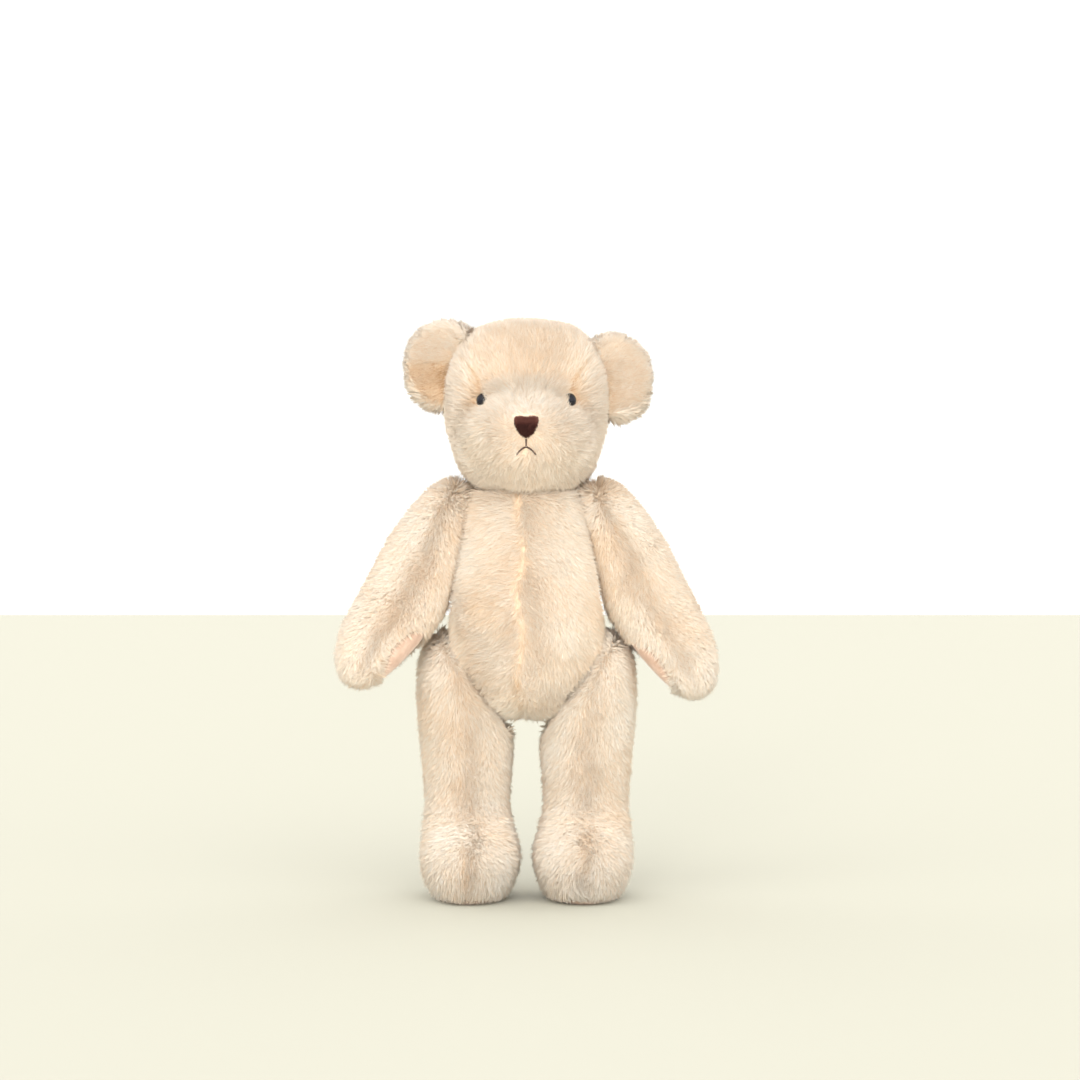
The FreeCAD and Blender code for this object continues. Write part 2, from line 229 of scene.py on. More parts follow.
def filling():
    mat, tree, shader = plain("polyester filling", (0.9, 0.9, 0.88), 0.9)
    tint = ramp(tree, noise(tree, 4, 4), [(0.3, (0.80, 0.80, 0.78)), (0.7, (0.93, 0.93, 0.92))])
    tree.links.new(tint, shader.inputs["Base Color"])
    bump(tree, shader, noise(tree, 1.2, 5), 0.6)
    return mat


def joint_plastic():
    mat, tree, shader = plain("joint plastic", (0.8, 0.8, 0.77), 0.4)
    tint = ramp(tree, noise(tree, 12), [(0.3, (0.76, 0.76, 0.73)), (0.7, (0.82, 0.82, 0.80))])
    tree.links.new(tint, shader.inputs["Base Color"])
    tree.links.new(spread(tree, noise(tree, 1.5), 0.32, 0.5), shader.inputs["Roughness"])
    bump(tree, shader, noise(tree, 0.4), 0.02)
    return mat


def eye_gloss():
    mat, tree, shader = plain(
        "eye gloss", (0.010, 0.010, 0.016), 0.07, Specular_IOR_Level=0.32
    )
    tint = ramp(
        tree, noise(tree, 2), [(0.35, (0.003, 0.003, 0.006)), (0.7, (0.009, 0.009, 0.014))]
    )
    tree.links.new(tint, shader.inputs["Base Color"])
    tree.links.new(spread(tree, noise(tree, 1.0), 0.03, 0.06), shader.inputs["Roughness"])
    return mat


def nose_velour():
    """Reddish brown, darker below; the paler top of the nose is painted light where it faces up."""
    mat, tree, shader = plain(
        "nose velour", (0.06, 0.02, 0.015), 0.9, Sheen_Weight=0.06, Sheen_Roughness=0.5
    )
    low, high = box_mm("nose")
    place = tree.nodes.new("ShaderNodeTexCoord")
    apart = tree.nodes.new("ShaderNodeSeparateXYZ")
    tree.links.new(place.outputs["Object"], apart.inputs["Vector"])
    # painted light: paler towards the top of the nose
    level = tree.nodes.new("ShaderNodeMapRange")
    level.inputs["From Min"].default_value = (high[2] - 7.5) * MM
    level.inputs["From Max"].default_value = (high[2] - 3.0) * MM
    tree.links.new(apart.outputs["Z"], level.inputs["Value"])
    mixed = tree.nodes.new("ShaderNodeMath")
    mixed.operation = "MULTIPLY_ADD"
    tree.links.new(noise(tree, 0.8, 4), mixed.inputs[0])
    mixed.inputs[1].default_value = 0.8
    tree.links.new(level.outputs["Result"], mixed.inputs[2])
    tint = ramp(
        tree, mixed.outputs["Value"],
        [(0.15, (0.030, 0.010, 0.008)), (0.55, (0.066, 0.021, 0.016)), (1.0, (0.16, 0.055, 0.042))],
    )
    tree.links.new(tint, shader.inputs["Base Color"])
    bump(tree, shader, noise(tree, 0.45, 4), 0.2)
    return mat


def mouth_thread():
    mat, tree, shader = plain("mouth thread", (0.06, 0.025, 0.02), 0.6)
    tint = ramp(tree, noise(tree, 1), [(0.3, (0.035, 0.014, 0.011)), (0.7, (0.10, 0.045, 0.03))])
    tree.links.new(tint, shader.inputs["Base Color"])
    bump(tree, shader, noise(tree, 0.3), 0.05)
    return mat


# The pile's colours, from sunlit cream tips to the deep tan at seams and roots; the deeper ones also serve as
# painted shade in creases, hollows and undersides
PILE_TINTS = [
    ("pile cream", (0.97, 0.88, 0.76)),
    ("pile pale", (0.95, 0.82, 0.67)),
    ("pile straw", (0.93, 0.75, 0.57)),
    ("pile honey", (0.88, 0.66, 0.45)),
    ("pile tan", (0.78, 0.51, 0.30)),
    ("pile deep tan", (0.60, 0.35, 0.175)),
    ("pile brown", (0.34, 0.165, 0.07)),
]
PILE = [
    plain(name, colour, 0.75, Sheen_Weight=0.08, Sheen_Roughness=0.5, Specular_IOR_Level=0.25)[0]
    for name, colour in PILE_TINTS
]
NAP_TINTS = [
    ("nap dark", (0.030, 0.010, 0.008)),
    ("nap brown", (0.065, 0.021, 0.016)),
    ("nap red brown", (0.13, 0.045, 0.034)),
    ("nap light", (0.21, 0.085, 0.065)),
]
NAP = [plain(name, colour, 0.85, Specular_IOR_Level=0.2)[0] for name, colour in NAP_TINTS]
BACKING = cloth_backing()
SUEDE = suede()
FILLING = filling()
PLASTIC = joint_plastic()
GLOSS = eye_gloss()
VELOUR = nose_velour()
THREAD = mouth_thread()
BY_SLOT = {
    "plush": BACKING, "stuffing": FILLING, "suede": SUEDE, "joint_plastic": PLASTIC,
    "eye_plastic": GLOSS, "nose_cloth": VELOUR, "mouth_thread": THREAD,
}


def dress_nodes():
    """Every kept CAD node takes the finish of its own slot."""
    for row in frame["record"]["subparts"]:
        node = NODES[row["node"]]
        node.data.materials.clear()
        node.data.materials.append(BY_SLOT[row["material_slot"]])


# ---- Padded covers ------------------------------------------------------------------
VOXEL = 4.0
SHRINK = 2.6          # the pile's own depth, in from the frame's surface
SWELL_CAP = 1.2       # how far the pressure may move a point
PRESSURE = 4
CLOTH_STEPS = 20
COVER_GAP = 0.6       # a cover's way back from its joint's plane, and a plug's first face
LEG_GAP = 2.4
ARM_POCKET, LEG_POCKET, TORSO_POCKET, NECK_POCKET = 9, 9, 14, 8      # how deep the plugs go
NECK_PLUG, SHOULDER_PLUG, HIP_PLUG = 24, 18.5, 18      # their radii
EYE_POCKET, EYE_PLUG = 15, 7.0


def welded(name, nodes):
    """One object of its own from copies of CAD nodes."""
    shape = bmesh.new()
    for node in nodes:
        shape.from_mesh(NODES[node].data)
    bmesh.ops.remove_doubles(shape, verts=shape.verts, dist=1e-6)
    mesh = bpy.data.meshes.new(name)
    shape.to_mesh(mesh)
    shape.free()
    ob = bpy.data.objects.new(name, mesh)
    SCENE.collection.objects.link(ob)
    return ob


def plug(ob, centre, along, start, end, radius):
    """Fills a joint's or an eye's pocket in a cover before it is remeshed."""
    along = Vector(along).normalized()
    middle = Vector(centre) + along * ((start + end) / 2)
    bpy.ops.object.select_all(action="DESELECT")
    bpy.ops.mesh.primitive_cylinder_add(
        radius=radius * MM, depth=(end - start) * MM, location=middle * MM,
        rotation=along.to_track_quat("Z", "Y").to_euler(),
    )
    filler = bpy.context.active_object
    ob.select_set(True)
    bpy.context.view_layer.objects.active = ob
    filler.select_set(True)
    bpy.ops.object.join()


def blown(ob):
    """Fills the cover with pressure, and keeps it near the shape it started from."""
    start = points_of(ob)
    cloth = ob.modifiers.new("Filling", "CLOTH")
    cloth.settings.use_pressure = True
    cloth.settings.uniform_pressure_force = PRESSURE
    cloth.settings.effector_weights.gravity = 0
    for step in range(1, CLOTH_STEPS + 1):
        SCENE.frame_set(step)
    alone(ob)
    bpy.ops.object.modifier_apply(modifier=cloth.name)
    moved = points_of(ob) - start
    far = np.linalg.norm(moved, axis=1, keepdims=True)
    cap = SWELL_CAP * MM
    set_points(ob, start + moved * np.minimum(1, cap / np.maximum(far, 1e-9)))
    SCENE.frame_set(1)
    apply_modifier(ob, "SMOOTH", factor=0.5, iterations=2)


def cover(name, body, nodes, plugs=(), voxel=VOXEL, shrink=SHRINK, inside=()):
    """A padded cloth cover that stands for its CAD panels."""
    ob = welded(name, list(nodes) + list(inside))
    for place in plugs:
        plug(ob, *place)
    apply_modifier(ob, "REMESH", mode="VOXEL", voxel_size=voxel * MM)
    apply_modifier(ob, "SMOOTH", factor=0.5, iterations=3)
    apply_modifier(ob, "DISPLACE", strength=-shrink * MM, mid_level=0)
    blown(ob)
    apply_modifier(ob, "SUBSURF", levels=1, render_levels=1)
    finished(ob, BACKING)
    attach(ob, body)
    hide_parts(*nodes)
    return ob


def hold_inside(ob, planes, gap=COVER_GAP):
    """Keeps every point of a piece on its own side of its joints' planes."""
    co = points_of(ob) / MM
    set_points(ob, kept_inside(co, planes, gap) * MM)


def kept_inside(p, planes, gap):
    for point, out in planes:
        over = (p - point) @ out + gap
        p = p - np.clip(over, 0, None)[:, None] * out
    return p


def joint_plane(joint, away):
    """A joint's plane, whose normal looks away from the piece that it bounds."""
    row = JOINTS[joint]
    point = np.array(row["pos_m"]) / MM
    axis = unit(np.array(row["axis"], float))
    if axis @ np.array(away, float) < 0:
        axis = -axis
    return point, axis


# ---- Pile ---------------------------------------------------------------------------
STRAND_WIDE, NAP_WIDE = 0.44, 0.22
CLUMP = 3.3            # how far apart the pile's locks stand
MOST_STRANDS = 48000   # in one piece
OVERLAP = 4.5          # how far pile may reach past a joint's plane
CREASE_REACH = 11      # how far from a joint's plane its pile leans along the plane
BODY_CLUMP, HEAD_CLUMP, EAR_CLUMP, NAP_CLUMP = 0.36, 0.34, 0.35, 0.15
ROOT_DEPTH = 0.5       # how far a strand's root is sunk in its cover
FLOOR_GAP = 0.25       # how far above the floor the lowest pile stays

# Each part's strands, their length, how raised they are, and their tint, 0 pale to 1 brown
HEAD_STRANDS, HEAD_LONG, HEAD_LIFT, HEAD_TINT = 103000, 8.6, 0.40, 0.21
EAR_STRANDS, EAR_LONG, EAR_LIFT, EAR_TINT = 17000, 7.6, 0.46, 0.14
TORSO_STRANDS, TORSO_LONG, TORSO_LIFT, TORSO_TINT = 90000, 8.2, 0.44, 0.20
ARM_STRANDS, ARM_LONG, ARM_LIFT, ARM_TINT = 43000, 8.2, 0.46, 0.20
LEG_STRANDS, LEG_LONG, LEG_LIFT, LEG_TINT = 57000, 8.2, 0.44, 0.21
NAP_STRANDS, NAP_LONG, NAP_LIFT, NAP_TINT = 7000, 1.7, 0.6, 0.14


def surface(ob):
    mesh = ob.data
    mesh.calc_loop_triangles()
    tri = np.empty(len(mesh.loop_triangles) * 3, np.int64)
    mesh.loop_triangles.foreach_get("vertices", tri)
    return points_of(ob) / MM, normals_of(ob), tri.reshape(-1, 3)


def clumped(tip, root, rng, strength):
    """Draws tips together into locks."""
    wander = np.stack([waves(root, 9, 70 + k) for k in range(3)], 1) * 2.6
    cell = np.floor((root + wander) / CLUMP).astype(np.int64)
    key = cell @ np.array([73856093, 19349663, 83492791])
    _, lock, size = np.unique(key, return_inverse=True, return_counts=True)
    middle = np.stack([np.bincount(lock, tip[:, k]) / size for k in range(3)], 1)
    pull = (strength * rng.uniform(0.5, 1.2, len(size)))[lock][:, None]
    return tip + (middle[lock] - tip) * pull, lock


def comb(skin, body, count, maps, planes, seed, part_of, names, clump=BODY_CLUMP, wide=STRAND_WIDE,
         trim=None, paints=PILE):
    """Plants pile all over a cover.

    maps(points, normals) gives how dense, how long, which way, how raised and which tint.
    part_of(points) says which of the named pieces each strand belongs to."""
    rng = np.random.default_rng(seed)
    co, no, tri = surface(skin)
    corner = co[tri]
    face_no = np.cross(corner[:, 1] - corner[:, 0], corner[:, 2] - corner[:, 0])
    area = np.linalg.norm(face_no, axis=1) / 2
    weight = area * np.clip(maps(corner.mean(1), unit(face_no))[0], 0, None)
    total = weight.cumsum()
    pick = np.searchsorted(total, (np.arange(count) + rng.random(count)) / count * total[-1])
    pick = np.minimum(pick, len(tri) - 1)
    a, b = np.sqrt(rng.random(count)), rng.random(count)
    share = np.stack([1 - a, a * (1 - b), a * b], 1)[:, :, None]
    root = (co[tri[pick]] * share).sum(1)
    normal = unit((no[tri[pick]] * share).sum(1))
    dense, long, flow, lift, tint = maps(root, normal)
    keep = dense > rng.random(count) * 0.12
    root, normal, long, flow, lift, tint = (
        v[keep] for v in (root, normal, long, flow, lift, tint)
    )
    count = len(root)

    flow = flow + 0.30 * np.stack([waves(root, 16, 40 + k) for k in range(3)], 1)
    flow = flow + 0.40 * rng.normal(size=(count, 3))
    along = unit(flow - (flow * normal).sum(1, keepdims=True) * normal)
    raised = np.clip(lift + 0.12 * rng.normal(size=count), 0.05, 0.95)[:, None]
    level = normal        # beside a joint, the normal without its part along the joint's axis
    for point, out in planes:
        beside = near((root - point) @ out, CREASE_REACH)[:, None]
        level = unit(level - beside * (level @ out)[:, None] * out)
    lean = unit(along * (1 - raised) + (0.4 * normal + 0.6 * level) * raised)
    long = long * rng.uniform(0.72, 1.18, count)
    tip = root + lean * long[:, None]
    tip, lock = clumped(tip, root, rng, clump)
    if trim:
        tip = trim(root, tip)
    bend = root + (tip - root) * 0.45 + level * (0.11 * long[:, None])

    across = unit(np.cross(tip - root, normal) + 0.35 * rng.normal(size=(count, 3)))
    half = (wide * rng.uniform(0.7, 1.25, count) / 2)[:, None]
    low = root - normal * ROOT_DEPTH
    strand = np.stack([low + across * half, low - across * half, bend, tip], 1)
    flat = kept_inside(strand.reshape(-1, 3), planes, -OVERLAP)
    flat[:, 2] = np.maximum(flat[:, 2], FLOOR_GAP)
    strand = flat.reshape(-1, 4, 3)
    turn = np.einsum(
        "ij,ij->i",
        np.cross(strand[:, 1] - strand[:, 0], strand[:, 2] - strand[:, 0]),
        strand[:, 3] - strand[:, 0],
    )
    swap = turn < 0
    strand[swap, 0], strand[swap, 1] = strand[swap, 1].copy(), strand[swap, 0].copy()

    shade = unit(level + 0.20 * unit(rng.normal(size=(count, 3))) + 0.12 * lean)
    lock_tint = rng.normal(size=lock.max() + 1)[lock]
    tone = tint * 6 + 0.16 * lock_tint + 0.40 * rng.normal(size=count)
    tone = np.clip(np.round(tone), 0, len(paints) - 1).astype(np.int32)

    label = part_of(root)
    for number, name in enumerate(names):
        mine = label == number
        planted(name, body, strand[mine], shade[mine], tone[mine], paints)


# A strand's faces: the upper one at its root, its underside, and its two sides towards the
# tip, and how many tints deeper than the strand's own each one is: partly the pile's tan roots, partly painted
# shade inside the pile
STRAND_FACES = np.array([(0, 2, 1), (0, 1, 3), (1, 2, 3), (0, 3, 2)])
ROOT_AND_SHADE_STEPS = np.array([1, 1, 0, 0])


def planted(name, body, strand, shade, tone, paints):
    """The mesh of one panel's pile."""
    count = len(strand)
    if count > MOST_STRANDS:
        raise ValueError(f"{name} has {count} strands, over {MOST_STRANDS}")
    mesh = bpy.data.meshes.new(name)
    mesh.vertices.add(count * 4)
    mesh.vertices.foreach_set("co", (strand * MM).ravel())
    faces = (np.arange(count)[:, None, None] * 4 + STRAND_FACES).reshape(-1)
    mesh.loops.add(len(faces))
    mesh.loops.foreach_set("vertex_index", faces.astype(np.int32))
    mesh.polygons.add(count * 4)
    mesh.polygons.foreach_set("loop_start", np.arange(0, len(faces), 3, dtype=np.int32))
    for mat in paints:
        mesh.materials.append(mat)
    # the root's face and the underside go deeper: tan roots together with painted shade inside the pile
    faces_tone = tone[:, None] + ROOT_AND_SHADE_STEPS
    faces_tone = np.clip(faces_tone, 0, len(paints) - 1).astype(np.int32)
    mesh.polygons.foreach_set("material_index", faces_tone.ravel())
    mesh.polygons.foreach_set("use_smooth", np.ones(count * 4, bool))
    mesh.update(calc_edges=True)
    mesh.normals_split_custom_set_from_vertices(np.repeat(shade, 4, axis=0))
    ob = bpy.data.objects.new(name, mesh)
    SCENE.collection.objects.link(ob)
    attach(ob, body)


# ---- Places on the bear, from the frame ---------------------------------------------
nose_low, nose_high = box_mm("nose")
NOSE = np.array([0, nose_low[1] + 4, (nose_low[2] + nose_high[2]) / 2])
NOSE_HALF = (nose_high[0] - nose_low[0]) / 2
NOSE_TALL = (nose_high[2] - nose_low[2]) / 2
NECK_Z = JOINTS["neck_turn"]["pos_m"][2] / MM
EYE_TURN = math.radians(32)          # each eye looks this far outward
EYES, EYE_LOOKS = {}, {}
for side, k in SIDES:
    look = np.array([k * math.sin(EYE_TURN), -math.cos(EYE_TURN), 0])
    shape = points_of(NODES[f"{side}_eye"]) / MM
    EYES[side] = shape[np.argmax(shape @ look)]
    EYE_LOOKS[side] = look
EYE_Z = EYES["left"][2]
EYE_RIM = 5.0
# How wide the nose is at each height, both as a share of its own, and -1 above and below it
NOSE_SHIELD = [(-0.01, -1), (0, 0.1), (0.28, 0.72), (0.85, 1), (1, 0.95), (1.01, -1)]
GUSSET = [(9, 326), (25, 346), (30, 362), (35, 386), (38, 420)]   # half width at each height
EAR_SEAM = [(27, 347), (33, 357), (41, 368)]   # X and Z, from each eye up to its ear
FOREHEAD_Z = 358.0           # between the forehead's panel and the muzzle's
MIDDLE_Y = 12.0              # the body's middle, front to back
SIDE_SEAM_Y = 18.0
PAD_EDGE = 1.3               # the bare border round a paw pad


# ---- The head -----------------------------------------------------------------------
def head_maps(p, n):
    x, y, z = p.T
    wide = np.abs(x)
    front = ease(8, -18, y)
    away = p - NOSE
    reach = np.linalg.norm(away, axis=1)
    flow = unit(away)
    back = ease(0, 30, y)
    flow = flow * (1 - 0.8 * back[:, None]) + np.array([0, 0, -1.0]) * back[:, None]
    flow[:, 2] += 0.55 * front * ease(352, 366, z)

    between_eyes = near(wide, 20) * near(z - 350, 12) * front
    forehead = front * ease(354, 361, z + 0.006 * wide ** 2) * ease(40, 34, wide)
    muzzle = front * (1 - forehead)
    long = HEAD_LONG + 2.6 * muzzle * ease(20, 45, reach)
    long = long - 2.0 * forehead - 1.6 * between_eyes
    long = long * (0.55 + 0.45 * ease(9, 26, reach))
    lift = HEAD_LIFT + 0.10 * muzzle * ease(14, 40, reach) - 0.10 * forehead
    lift += 0.12 * back

    # grooves along the seams from eye to ear and along the brow's arc, where the pile is shorter; their deeper
    # tint is partly tan roots showing, partly painted shade in the groove
    seam = near(line_distance(np.stack([wide, y, z], 1), EAR_SEAM), 1.5) * front
    arc = near(z + 0.006 * wide ** 2 - 357.5, 2.4) * front * ease(36, 30, wide)
    # painted light: the hollow between the eyes under the brow is made paler against its shade
    between = near(wide, 17) * near(z - 342, 16) * front
    # the forehead deeper: partly its own peach tone, partly painted shade against the light its short pile catches
    tint = HEAD_TINT + 0.09 * forehead - 0.12 * between + 0.24 * seam + 0.05 * arc
    # painted shade low on the back of the head, just above the neck joint
    tint += 0.10 * back * ease(330, 300, z)
    # painted light: the muzzle paler where its pile is longest, against that pile's own shade
    tint -= 0.02 * muzzle * ease(18, 40, reach)
    long = long * (1 - 0.45 * seam - 0.25 * arc)

    dense = np.ones(len(p))
    dense[(z < NECK_Z + 5) & (n[:, 2] < -0.75) & (np.hypot(x, y - MIDDLE_Y) < 27)] = 0
    level = (z - NOSE[2] + NOSE_TALL) / (2 * NOSE_TALL)
    shield = NOSE_HALF * np.interp(level, *zip(*NOSE_SHIELD))
    dense[(wide < shield - 0.7) & (y < NOSE[1] + 14)] = 0
    stitch = near(wide, 1.0) * ease(304, 308, z) * ease(320, 316, z) * front
    dense *= 1 - np.minimum(1, 1.5 * stitch)
    for side, k in SIDES:
        off = p - EYES[side]
        off = off - (off @ EYE_LOOKS[side])[:, None] * EYE_LOOKS[side]
        ring = np.linalg.norm(off, axis=1)
        eye_side = (x * k > 0) & (y < 5)
        dense[eye_side & (ring < EYE_RIM + 0.6)] = 0
        # round each eye the pile is shorter, and its deeper tint is painted shade, deepest above and outside the
        # eye, with some tan of the tuft there
        eye_tuft_and_shade = near(ring, 8.5) * eye_side
        upper = ease(-3, 5, 0.6 * off[:, 2] + off[:, 0] * k)
        tint += eye_tuft_and_shade * (0.10 + 0.34 * upper)
        long = long * (1 - 0.45 * eye_tuft_and_shade)
    return dense, long, flow, lift, tint


def clear_of_eyes(root, tip):
    """Stops the pile at each eye's rim, later on its lower and inner side."""
    for side, k in SIDES:
        look = EYE_LOOKS[side]
        from_eye = root - EYES[side], tip - EYES[side]
        root_ring, tip_ring = (
            np.linalg.norm(v - (v @ look)[:, None] * look, axis=1) for v in from_eye
        )
        down_in = from_eye[0] @ unit(np.array([-0.6 * k, -0.3, -1.0]))
        rim = EYE_RIM + 0.5 - 1.3 * ease(0, 5, down_in)
        part = np.clip((root_ring - rim) / np.maximum(root_ring - tip_ring, 1e-6), 0.15, 1)
        part = np.where((tip_ring < rim) & (root[:, 0] * k > 0) & (root[:, 1] < 5), part, 1)
        tip = root + (tip - root) * part[:, None]
    return tip


def head_part(p):
    wide, z = np.abs(p[:, 0]), p[:, 2]
    edge = np.interp(z, [z0 for _, z0 in GUSSET], [w for w, _ in GUSSET])
    middle = (wide < edge) & (z > GUSSET[0][1])
    muzzle = middle & (z < FOREHEAD_Z) & (p[:, 1] < 2)
    return np.where(muzzle, 1, np.where(middle, 0, np.where(p[:, 0] > 0, 2, 3)))


def make_head():
    neck = np.array(JOINTS["neck_turn"]["pos_m"]) / MM
    plugs = [(neck, (0, 0, 1), COVER_GAP, NECK_POCKET, NECK_PLUG)]
    for side, k in SIDES:
        look = EYE_LOOKS[side]
        plugs.append((EYES[side] - look * 4, -look, 0.5, EYE_POCKET, EYE_PLUG))
    panels = ["forehead_gusset", "muzzle_gusset", "head_left_side", "head_right_side"]
    skin = cover("head_cover", "head", panels, plugs, inside=["head_stuffing"])
    planes = [joint_plane("neck_turn", (0, 0, -1))]
    hold_inside(skin, planes)
    comb(
        skin, "head", HEAD_STRANDS, head_maps, planes, 11, head_part,
        ["forehead_pile", "muzzle_pile", "head_left_pile", "head_right_pile"], clump=HEAD_CLUMP,
        trim=clear_of_eyes,
    )


# ---- Ears ---------------------------------------------------------------------------
EAR_TURN = math.radians(22)
EAR_RADIUS = 29.5
EAR_CUP = 5.2                # how deep each ear's hollow is
EAR_SKIN = {"voxel": 2.4, "shrink": 2.4}


def make_ear(side, k):
    low, high = box_mm(f"{side}_ear_back")
    out = np.array([k * math.sin(EAR_TURN), -math.cos(EAR_TURN), 0])
    across = np.array([k * math.cos(EAR_TURN), math.sin(EAR_TURN), 0])
    far_x = high[0] if k > 0 else low[0]
    centre = np.array([
        far_x - k * EAR_RADIUS * math.cos(EAR_TURN), MIDDLE_Y + 2, high[2] - EAR_RADIUS,
    ])
    skin = cover(
        f"{side}_ear_cover", "head", [f"{side}_ear_front", f"{side}_ear_back"],
        **EAR_SKIN,
    )
    co = points_of(skin) / MM
    off = co - centre
    rim = np.hypot(off @ across, off[:, 2]) / EAR_RADIUS
    cup = EAR_CUP * ease(0.95, 0.35, rim)
    set_points(skin, (co - out * cup[:, None]) * MM)

    def maps(p, n):
        off = p - centre
        side_on, up = off @ across, off[:, 2]
        rim = np.hypot(side_on, up) / EAR_RADIUS
        facing = n @ out
        inner = ease(0.15, 0.5, facing) * ease(0.92, 0.74, rim)
        flow = unit(np.outer(side_on + 24, across) + np.outer(up + 3, [0, 0, 1.0]))
        flow = flow + 0.35 * out * (rim > 0.7)[:, None]
        below = ease(-6, -24, up)
        top_root = ease(-8, -18, side_on) * ease(6, 16, up)
        flow = flow * (1 - 0.9 * top_root[:, None]) + np.outer(top_root, 0.9 * out - 0.5 * across)
        long = EAR_LONG - 2.6 * inner + 4.0 * below * ease(0.55, 0.85, rim) + 3.0 * top_root
        lift = EAR_LIFT - 0.06 * inner
        root = near(np.hypot(side_on + 22, up + 12), 17)
        # painted shade in the ear's hollow, deepest at its root against the head, over some of the ear's own tan
        tint = EAR_TINT + inner * (0.20 + 0.50 * root)
        # painted shade on the ear's back, which faces away from the front
        tint += 0.04 * ease(0.2, -0.6, facing)
        # painted light and shade per ear: the right ear's hollow darker low down and paler on its folded upper
        # half, the left ear's hollow paler
        if k < 0:
            tint += inner * 0.16 * ease(4, -4, up) - inner * 0.10 * ease(0, 8, up)
        else:
            tint -= inner * 0.08
        return np.ones(len(p)), long, flow, lift, tint

    comb(
        skin, "head", EAR_STRANDS, maps, [], 20 + k, lambda p: np.zeros(len(p), int),
        [f"{side}_ear_pile"], clump=EAR_CLUMP,
    )


# ---- Torso --------------------------------------------------------------------------
TORSO_PARTS = ["torso_front_left", "torso_front_right", "torso_back_left", "torso_back_right"]


def torso_planes():
    planes = [joint_plane("neck_turn", (0, 0, 1))]
    for side, k in SIDES:
        planes.append(joint_plane(f"{side}_shoulder_swing", (k, 0, 0)))
        planes.append(joint_plane(f"{side}_hip_swing", (k, 0, 0)))
    return planes


RUBBED = 0.5, 3.2, 0.12      # how dense, long and raised pile is on a joint's own faces


def joint_face(p, n, plane):
    """True on the flat face that a piece turns to its joint."""
    point, out = plane
    return ((p - point) @ out > -4.0) & (n @ out > 0.93)


def crease(p, planes, reach):
    """1 beside a joint plane, fading away from it."""
    worst = np.zeros(len(p))
    for point, out in planes:
        worst = np.maximum(worst, near((p - point) @ out, reach))
    return worst


def torso_maps(planes):
    def maps(p, n):
        x, y, z = p.T
        front = ease(20, 0, y)
        wander = -4 + 2.2 * np.sin(z / 9.0)
        off = x - wander * front
        right = ease(2, -6, off)
        flow = np.stack([0.25 * np.sign(off), np.zeros(len(p)), -np.ones(len(p))], 1)
        flow[:, 0] -= 0.75 * right * front
        flow[:, 2] += 0.35 * right * front
        for point, out in planes:
            flow = flow + 1.2 * near((p - point) @ out, CREASE_REACH)[:, None] * out
        # grooves along the seams, where the pile is shorter; their deeper tint below is partly tan roots showing,
        # partly painted shade
        seam = near(off, 1.5)
        side_seam = near(y - SIDE_SEAM_Y, 1.8)
        long = TORSO_LONG * (1 - 0.40 * seam - 0.25 * side_seam)
        shoulder = ease(252, 270, z) * crease(p, planes[1:], 12)
        shoulder = np.maximum(shoulder, 0.8 * near(z - NECK_Z, 9))
        long = long + 5.5 * shoulder + 3.0 * crease(p, planes[1:], 9) * (1 - shoulder)
        lift = TORSO_LIFT - 0.10 * seam + 0.10 * shoulder
        # painted shade in the creases beside the joints
        tint = TORSO_TINT + 0.12 * seam + 0.12 * side_seam + 0.04 * crease(p, planes, 6)
        tint += 0.08 * waves(p, 26, 5)
        dense = np.ones(len(p))
        for plane in planes:
            face = joint_face(p, n, plane)
            dense[face], long[face], lift[face] = RUBBED
        return dense, long, flow, lift, tint
    return maps


def make_torso():
    planes = torso_planes()
    radii = NECK_PLUG, SHOULDER_PLUG, HIP_PLUG, SHOULDER_PLUG, HIP_PLUG
    plugs = [
        (point, -out, COVER_GAP, TORSO_POCKET, radius)
        for (point, out), radius in zip(planes, radii)
    ]
    skin = cover("torso_cover", "torso", TORSO_PARTS, plugs, inside=["torso_stuffing"])
    hold_inside(skin, planes)

    def part(p):
        return np.where(p[:, 1] < SIDE_SEAM_Y, 0, 2) + np.where(p[:, 0] > 0, 0, 1)

    comb(
        skin, "torso", TORSO_STRANDS, torso_maps(planes), planes, 31, part,
        [name + "_pile" for name in TORSO_PARTS],
    )


# ---- Arms and legs ------------------------------------------------------------------
ARM_TOP_RISE = 5.0           # lifts each arm's top to the shoulder's own line


def pad_distance(node, skin_points):
    """How far each point is from a pad's own CAD mesh."""
    shape = points_of(NODES[node]) / MM
    tree = search_tree(np.unique(np.round(shape, 1), axis=0))
    return np.array([tree.find(point)[2] for point in skin_points])


